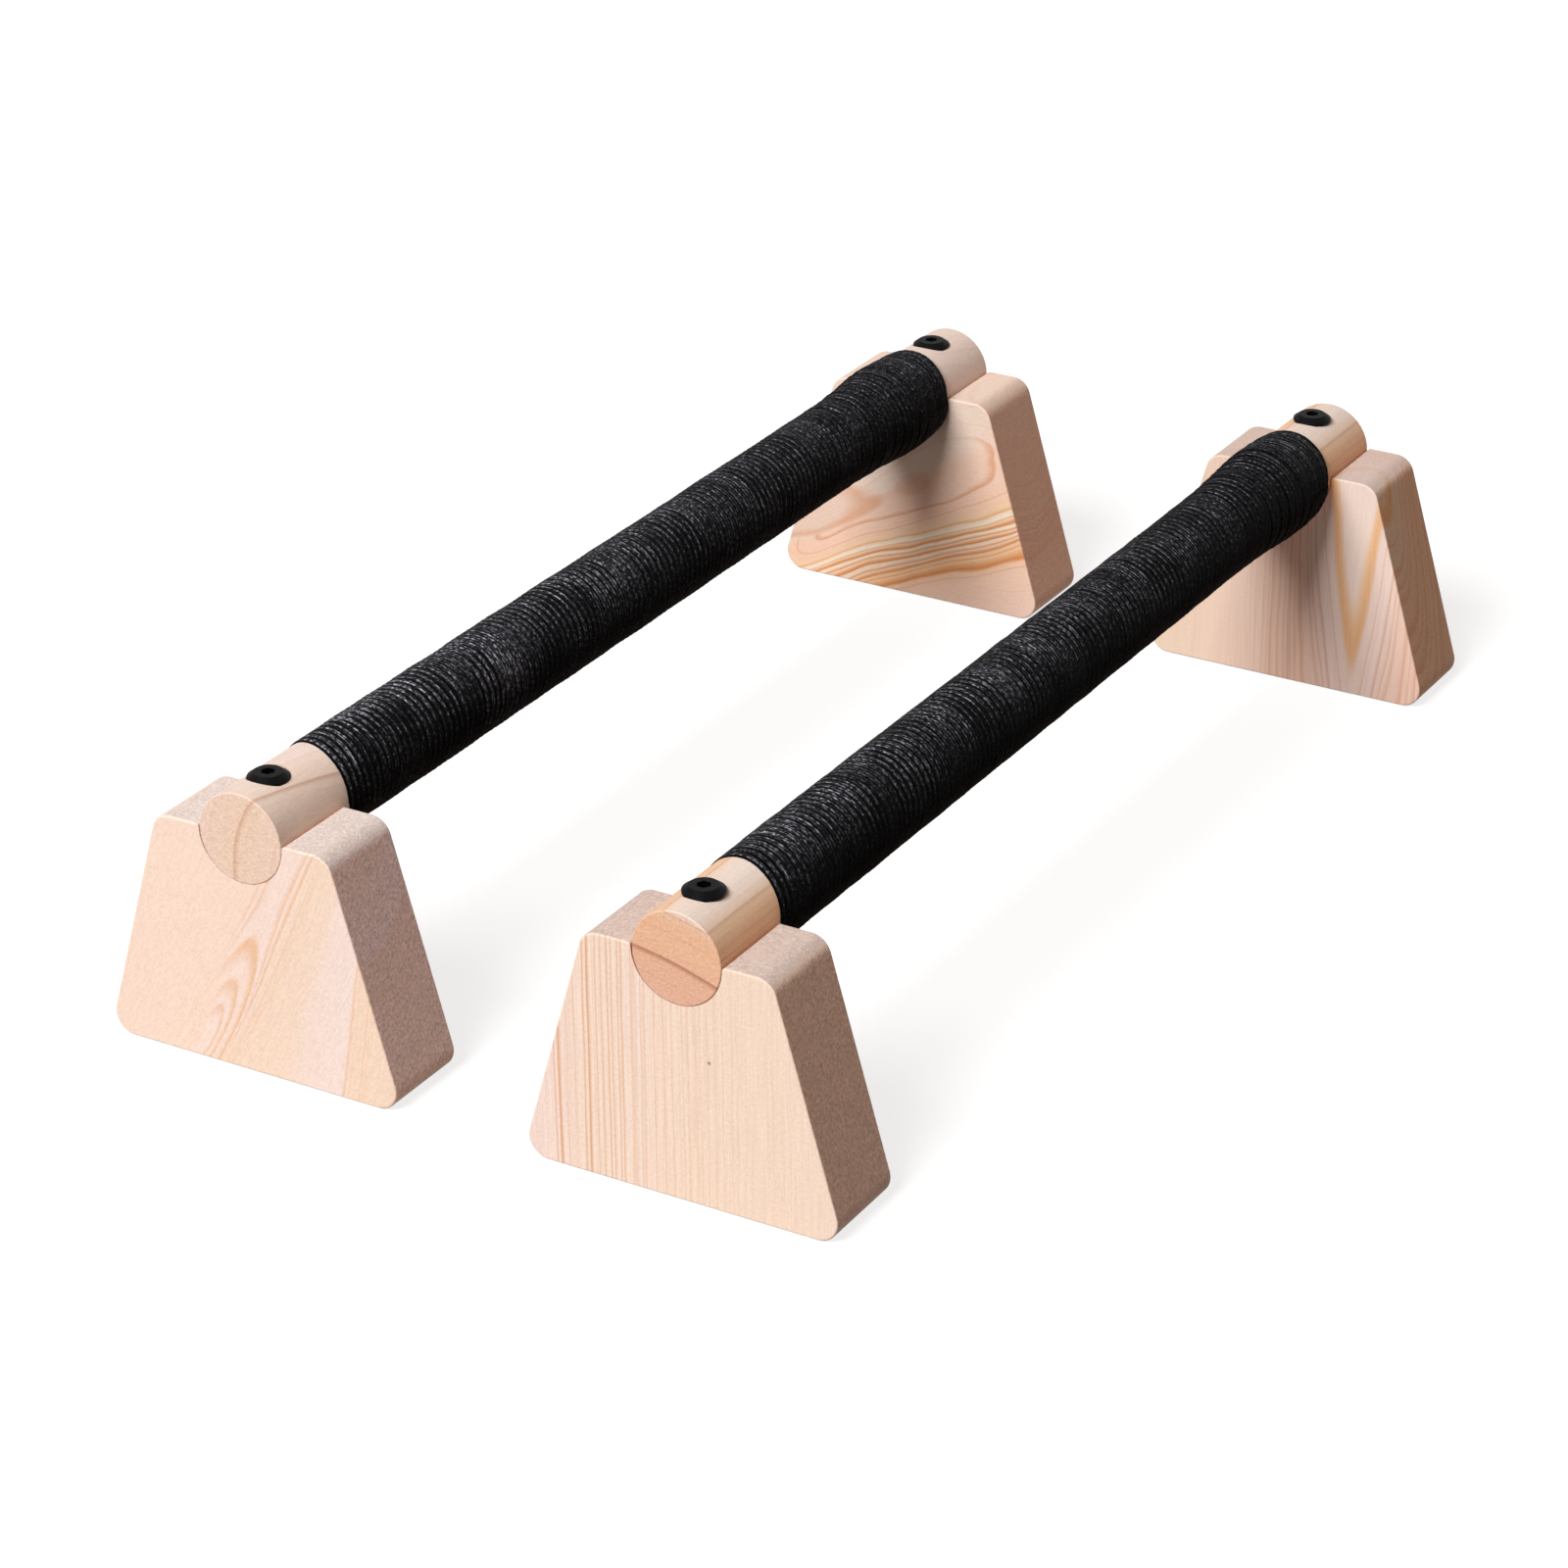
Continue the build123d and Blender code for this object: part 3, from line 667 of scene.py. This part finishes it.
def turn_edge_tree():
    """Where the near edge of the strip lies at a given turn, how wide it is there, and
    how thick it lies."""
    tree = bpy.data.node_groups.new("strip at a turn", "GeometryNodeTree")
    for name in ("Turn", *WINDING):
        tree.interface.new_socket(name, in_out="INPUT", socket_type="NodeSocketFloat")
    for name in ("Edge", "Width", "Layer"):
        tree.interface.new_socket(name, in_out="OUTPUT", socket_type="NodeSocketFloat")
    given = add_node(tree, "NodeGroupInput").outputs
    share = add_node(tree, "ShaderNodeMath", {
        0: given["Turn"], 1: float(TURNS)}, operation="DIVIDE", use_clamp=True)
    travel = add_node(tree, "ShaderNodeFloatCurve", {"Value": share}, points=PACE)
    length = add_node(tree, "ShaderNodeMath", {
        0: given["Far End"], 1: given["Near End"]}, operation="SUBTRACT")
    length = add_node(tree, "ShaderNodeMath", {0: length, 1: LAST_EDGE}, operation="MULTIPLY")
    edge = add_node(tree, "ShaderNodeMath", {
        0: travel, 1: length, 2: given["Near End"]}, operation="MULTIPLY_ADD")
    # the hand doesn't advance evenly
    sway = add_node(tree, "ShaderNodeMath", {0: given["Turn"], 1: given["Seed"]}, operation="ADD")
    sway = add_node(tree, "ShaderNodeTexNoise", {
        "W": sway, "Scale": WOBBLES_PER_TURN, "Detail": 1.0}, noise_dimensions="1D")
    sway = add_node(tree, "ShaderNodeMath", {0: sway, 1: 0.5}, operation="SUBTRACT")
    begun = add_node(tree, "ShaderNodeMapRange", {
        "Value": given["Turn"], "From Min": WOBBLE_BEGINS, "From Max": WOBBLE_FULL})
    ending = add_node(tree, "ShaderNodeMapRange", {
        "Value": given["Turn"], "From Min": WOBBLE_FADES, "From Max": WOBBLE_LEAST,
        "To Min": 1.0, "To Max": 0.25})
    sway = add_node(tree, "ShaderNodeMath", {0: sway, 1: begun}, operation="MULTIPLY")
    sway = add_node(tree, "ShaderNodeMath", {0: sway, 1: ending}, operation="MULTIPLY")
    sway = add_node(tree, "ShaderNodeMath", {0: sway, 1: given["Wobble"], 2: edge}, operation="MULTIPLY_ADD")
    # the first turns start aslant, least far along at one angle and most far opposite
    angle = add_node(tree, "ShaderNodeMath", {0: given["Turn"], 1: math.tau}, operation="MULTIPLY")
    slant = add_node(tree, "ShaderNodeMath", {0: angle, 1: given["Near Slant From"]}, operation="SUBTRACT")
    slant = add_node(tree, "ShaderNodeMath", {0: slant}, operation="COSINE")
    slant = add_node(tree, "ShaderNodeMapRange", {
        "Value": slant, "From Min": 1.0, "From Max": -1.0, "To Max": given["Near Slant"]})
    straight = add_node(tree, "ShaderNodeMapRange", {
        "Value": given["Turn"], "From Min": SLANT_FADES, "From Max": SLANT_GONE,
        "To Min": 1.0, "To Max": 0.0})
    sway = add_node(tree, "ShaderNodeMath", {0: slant, 1: straight, 2: sway}, operation="MULTIPLY_ADD")
    # the last edge reaches further on top of the bar than below it
    level = add_node(tree, "ShaderNodeMath", {0: angle}, operation="SINE")
    rise = add_node(tree, "ShaderNodeMapRange", {
        "Value": level, "From Min": TOP_FROM, "From Max": 1.0, "To Max": given["Far Rise"]})
    drop = add_node(tree, "ShaderNodeMapRange", {
        "Value": level, "From Min": TOP_FROM, "From Max": -1.0, "To Max": given["Far Drop"]})
    far = add_node(tree, "ShaderNodeMath", {0: given["Far End"], 1: rise}, operation="ADD")
    far = add_node(tree, "ShaderNodeMath", {0: far, 1: drop}, operation="SUBTRACT")
    room_left = add_node(tree, "ShaderNodeMath", {0: far, 1: sway}, operation="SUBTRACT")
    width = add_node(tree, "ShaderNodeMath", {0: given["Strip Width"], 1: room_left}, operation="MINIMUM")
    layer = add_node(tree, "ShaderNodeMapRange", {
        "Value": given["Turn"], "From Min": PILE_BEGINS, "From Max": PILE_FULL,
        "To Min": LAYER_TIGHT, "To Max": LAYER_SLACK}, interpolation_type="SMOOTHSTEP")
    add_node(tree, "NodeGroupOutput", {"Edge": sway, "Width": width, "Layer": layer})
    return tree


# shares of the strip's width and parts of a turn over which it thins out, and what counts as touching
RIM_TAPER = 0.022
END_TAPER, STEP_TAPER = 0.03, 0.04
WELD = 0.002 * MM


def wound_strip_tree(strip_at):
    """One closed strip wound round a bar that lies along Y. Each turn rests on what the
    turns before it have left under it."""
    tree = bpy.data.node_groups.new("wound strip", "GeometryNodeTree")
    face = tree.interface
    face.new_socket("Geometry", in_out="INPUT", socket_type="NodeSocketGeometry")
    for name in ("Bar X", "Bar Z", "Bore Radius", "Strip Body", "Cord Height", "Drape", "Lumps", *WINDING):
        face.new_socket(name, in_out="INPUT", socket_type="NodeSocketFloat")
    face.new_socket("Strip Material", in_out="INPUT", socket_type="NodeSocketMaterial")
    face.new_socket("Geometry", in_out="OUTPUT", socket_type="NodeSocketGeometry")
    given = add_node(tree, "NodeGroupInput").outputs
    top_points = STRIP_CORDS * POINTS_PER_CORD
    rows = top_points + UNDERSIDE_POINTS
    flat = add_node(tree, "GeometryNodeMeshGrid", {
        "Size X": 1.0, "Size Y": 1.0, "Vertices X": TURNS * STEPS_PER_TURN + 1, "Vertices Y": rows + 1})
    spot = add_node(tree, "GeometryNodeInputPosition")
    spot = add_node(tree, "ShaderNodeSeparateXYZ", {0: spot})
    turn = add_node(tree, "ShaderNodeMath", {0: spot.outputs["X"], 1: 0.5}, operation="ADD")
    turn = add_node(tree, "ShaderNodeMath", {0: turn, 1: float(TURNS)}, operation="MULTIPLY")
    round_it = add_node(tree, "ShaderNodeMath", {0: spot.outputs["Y"], 1: 0.5}, operation="ADD")
    top_share = top_points / rows
    up = add_node(tree, "ShaderNodeMath", {0: round_it, 1: top_share}, operation="DIVIDE")
    down = add_node(tree, "ShaderNodeMath", {0: 1.0, 1: round_it}, operation="SUBTRACT")
    down = add_node(tree, "ShaderNodeMath", {0: down, 1: 1 - top_share}, operation="DIVIDE")
    across = add_node(tree, "ShaderNodeMath", {0: up, 1: down}, operation="MINIMUM", use_clamp=True)
    on_top = add_node(tree, "ShaderNodeMath", {0: round_it, 1: top_share}, operation="LESS_THAN")

    def strip(behind):
        """The turn at this angle so many layers further in, and how the strip lies there."""
        shifted = add_node(tree, "ShaderNodeMath", {0: turn, 1: float(behind)}, operation="SUBTRACT")
        at = add_node(tree, "GeometryNodeGroup", {
            "Turn": shifted, **{name: given[name] for name in WINDING}}, node_tree=strip_at)
        return shifted, at

    here = strip(0)[1]
    along_bar = add_node(tree, "ShaderNodeMath", {
        0: across, 1: here.outputs["Width"], 2: here.outputs["Edge"]}, operation="MULTIPLY_ADD")
    half_drape = add_node(tree, "ShaderNodeMath", {0: given["Drape"], 1: 0.5}, operation="MULTIPLY")
    minus_drape = add_node(tree, "ShaderNodeMath", {0: given["Drape"], 1: -0.5}, operation="MULTIPLY")
    # the strip lies lumpily: a slow unevenness that every layer at one spot shares
    angle = add_node(tree, "ShaderNodeMath", {0: turn, 1: math.tau}, operation="MULTIPLY")
    cosine = add_node(tree, "ShaderNodeMath", {0: angle}, operation="COSINE")
    sine = add_node(tree, "ShaderNodeMath", {0: angle}, operation="SINE")
    bare = add_node(tree, "ShaderNodeCombineXYZ", {"X": cosine, "Y": sine, "Z": 0.0})
    bare = add_node(tree, "ShaderNodeVectorMath", {0: bare, "Scale": given["Bore Radius"]}, operation="SCALE")
    along_too = add_node(tree, "ShaderNodeCombineXYZ", {"Z": along_bar})
    bare = add_node(tree, "ShaderNodeVectorMath", {0: bare, 1: along_too}, operation="ADD")
    lumpy = add_node(tree, "ShaderNodeTexNoise", {
        "Vector": bare, "W": given["Seed"], "Scale": LUMPS_PER_METRE, "Detail": 1.0}, noise_dimensions="4D")
    lumpy = add_node(tree, "ShaderNodeMapRange", {
        "Value": lumpy, "From Min": 0.32, "From Max": 0.68, "To Max": given["Lumps"]})
    pile = add_node(tree, "ShaderNodeMath", {0: given["Bore Radius"], 1: lumpy}, operation="ADD")
    for behind in range(1, MOST_LAYERS + 1):
        shifted, under = strip(behind)
        reach = add_node(tree, "ShaderNodeMath", {
            0: under.outputs["Edge"], 1: under.outputs["Width"]}, operation="ADD")
        spare = add_node(tree, "ShaderNodeMath", {0: reach, 1: along_bar}, operation="SUBTRACT")
        covered = add_node(tree, "ShaderNodeMapRange", {
            "Value": spare, "From Min": minus_drape, "From Max": half_drape}, interpolation_type="SMOOTHSTEP")
        begun = add_node(tree, "ShaderNodeMapRange", {
            "Value": shifted, "From Min": 0.0, "From Max": STEP_TAPER})
        layer = add_node(tree, "ShaderNodeMath", {
            0: under.outputs["Layer"], 1: covered}, operation="MULTIPLY")
        pile = add_node(tree, "ShaderNodeMath", {0: layer, 1: begun, 2: pile}, operation="MULTIPLY_ADD")

    # the strip's own body and cords, thinning to nothing at its edges and its two ends
    beyond = add_node(tree, "ShaderNodeMath", {0: 1.0, 1: across}, operation="SUBTRACT")
    rim = add_node(tree, "ShaderNodeMath", {0: across, 1: beyond}, operation="MINIMUM")
    rim = add_node(tree, "ShaderNodeMapRange", {"Value": rim, "From Min": 0.0, "From Max": RIM_TAPER})
    left = add_node(tree, "ShaderNodeMath", {0: float(TURNS), 1: turn}, operation="SUBTRACT")
    tail = add_node(tree, "ShaderNodeMath", {0: turn, 1: left}, operation="MINIMUM")
    tail = add_node(tree, "ShaderNodeMapRange", {"Value": tail, "From Min": 0.0, "From Max": END_TAPER})
    solid = add_node(tree, "ShaderNodeMath", {0: rim, 1: tail}, operation="MULTIPLY")
    wave = add_node(tree, "ShaderNodeMath", {0: across, 1: math.pi * STRIP_CORDS}, operation="MULTIPLY")
    wave = add_node(tree, "ShaderNodeMath", {0: wave}, operation="SINE")
    wave = add_node(tree, "ShaderNodeMath", {0: wave}, operation="ABSOLUTE")
    cord_top = add_node(tree, "ShaderNodeMath", {
        0: wave, 1: given["Cord Height"], 2: given["Strip Body"]}, operation="MULTIPLY_ADD")
    thick = add_node(tree, "ShaderNodeMath", {0: cord_top, 1: solid}, operation="MULTIPLY")
    thick = add_node(tree, "ShaderNodeMath", {0: thick, 1: on_top}, operation="MULTIPLY")
    radius = add_node(tree, "ShaderNodeMath", {0: pile, 1: thick}, operation="ADD")

    x = add_node(tree, "ShaderNodeMath", {0: radius, 1: cosine, 2: given["Bar X"]}, operation="MULTIPLY_ADD")
    z = add_node(tree, "ShaderNodeMath", {0: radius, 1: sine, 2: given["Bar Z"]}, operation="MULTIPLY_ADD")
    where = add_node(tree, "ShaderNodeCombineXYZ", {"X": x, "Y": along_bar, "Z": z})
    length = add_node(tree, "ShaderNodeMath", {0: angle, 1: given["Bore Radius"]}, operation="MULTIPLY")
    on_strip = add_node(tree, "ShaderNodeCombineXYZ", {"X": length, "Y": across})
    marked = add_node(tree, "GeometryNodeStoreNamedAttribute", {
        "Geometry": flat.outputs["Mesh"], "Name": "strip", "Value": on_strip},
        data_type="FLOAT2", domain="CORNER")
    wound = add_node(tree, "GeometryNodeSetPosition", {"Geometry": marked, "Position": where})
    closed = add_node(tree, "GeometryNodeMergeByDistance", {"Geometry": wound, "Distance": WELD})
    smooth = add_node(tree, "GeometryNodeSetShadeSmooth", {"Geometry": closed})
    real = add_node(tree, "GeometryNodeRealizeInstances", {"Geometry": smooth})
    dressed = add_node(tree, "GeometryNodeSetMaterial", {
        "Geometry": real, "Material": given["Strip Material"]})
    add_node(tree, "NodeGroupOutput", {"Geometry": dressed})
    return tree


winding = wound_strip_tree(turn_edge_tree())
webbings = {
    # dull black: thin beaded cords with painted highlights, over gaps painted nearly black as shade
    "left": corded_webbing(
        "elastic webbing, much handled, lighter painted shade", shade=(0.23, 1.46), deep_shade=1.8, far_cords=0.55, far_light=1.50),
    # the same webbing, with deeper painted shade low down, and its cords still crisp at the far end
    "right": corded_webbing(
        "elastic webbing, less handled, deeper painted shade", shade=(0.06, 1.04), deep_shade=2.6, far_cords=0.75, far_light=1.30),
}
# how far the near end slants and from which angle, and the far end's rise and drop
slants = {"left": (9.0 * MM, 0.05, 3.5 * MM, 0.0), "right": (8.0 * MM, -0.70, 3.5 * MM, 4.0 * MM)}
for side, seed in (("left", 3.0), ("right", 11.0)):
    bar = bore[side]
    near_slant, slant_from, far_rise, far_drop = slants[side]
    blank = bpy.data.objects.new(f"{side}_wound_strip", bpy.data.meshes.new("blank"))
    scene.collection.objects.link(blank)
    modifier = blank.modifiers.new("winding", "NODES")
    modifier.node_group = winding
    values = {
        "Bar X": bar["x"], "Bar Z": bar["z"], "Bore Radius": bar["radius"],
        "Near End": bar["near"], "Far End": bar["far"], "Strip Width": STRIP_WIDTH,
        "Strip Body": STRIP_BODY, "Cord Height": CORD_HEIGHT, "Drape": DRAPE, "Lumps": LUMPS,
        "Wobble": WOBBLE, "Seed": seed, "Strip Material": webbings[side],
        "Near Slant": near_slant, "Near Slant From": slant_from, "Far Rise": far_rise, "Far Drop": far_drop,
    }
    for socket in winding.interface.items_tree:
        if socket.in_out == "INPUT" and socket.name in values:
            modifier[socket.identifier] = values[socket.name]
    bpy.context.view_layer.update()
    made = blank.evaluated_get(bpy.context.evaluated_depsgraph_get())
    mesh = bpy.data.meshes.new_from_object(made, preserve_all_data_layers=True,
    depsgraph=bpy.context.evaluated_depsgraph_get())
    blank.modifiers.clear()
    blank.data = mesh
    mesh.name = blank.name
    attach(blank, f"{side}_unit")
    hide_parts(f"{side}_grip_wrap")

# ------------------------------------------------------------------ sizes
# The reach of the dressed part, without the floor and the hidden solids.

low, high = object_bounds()
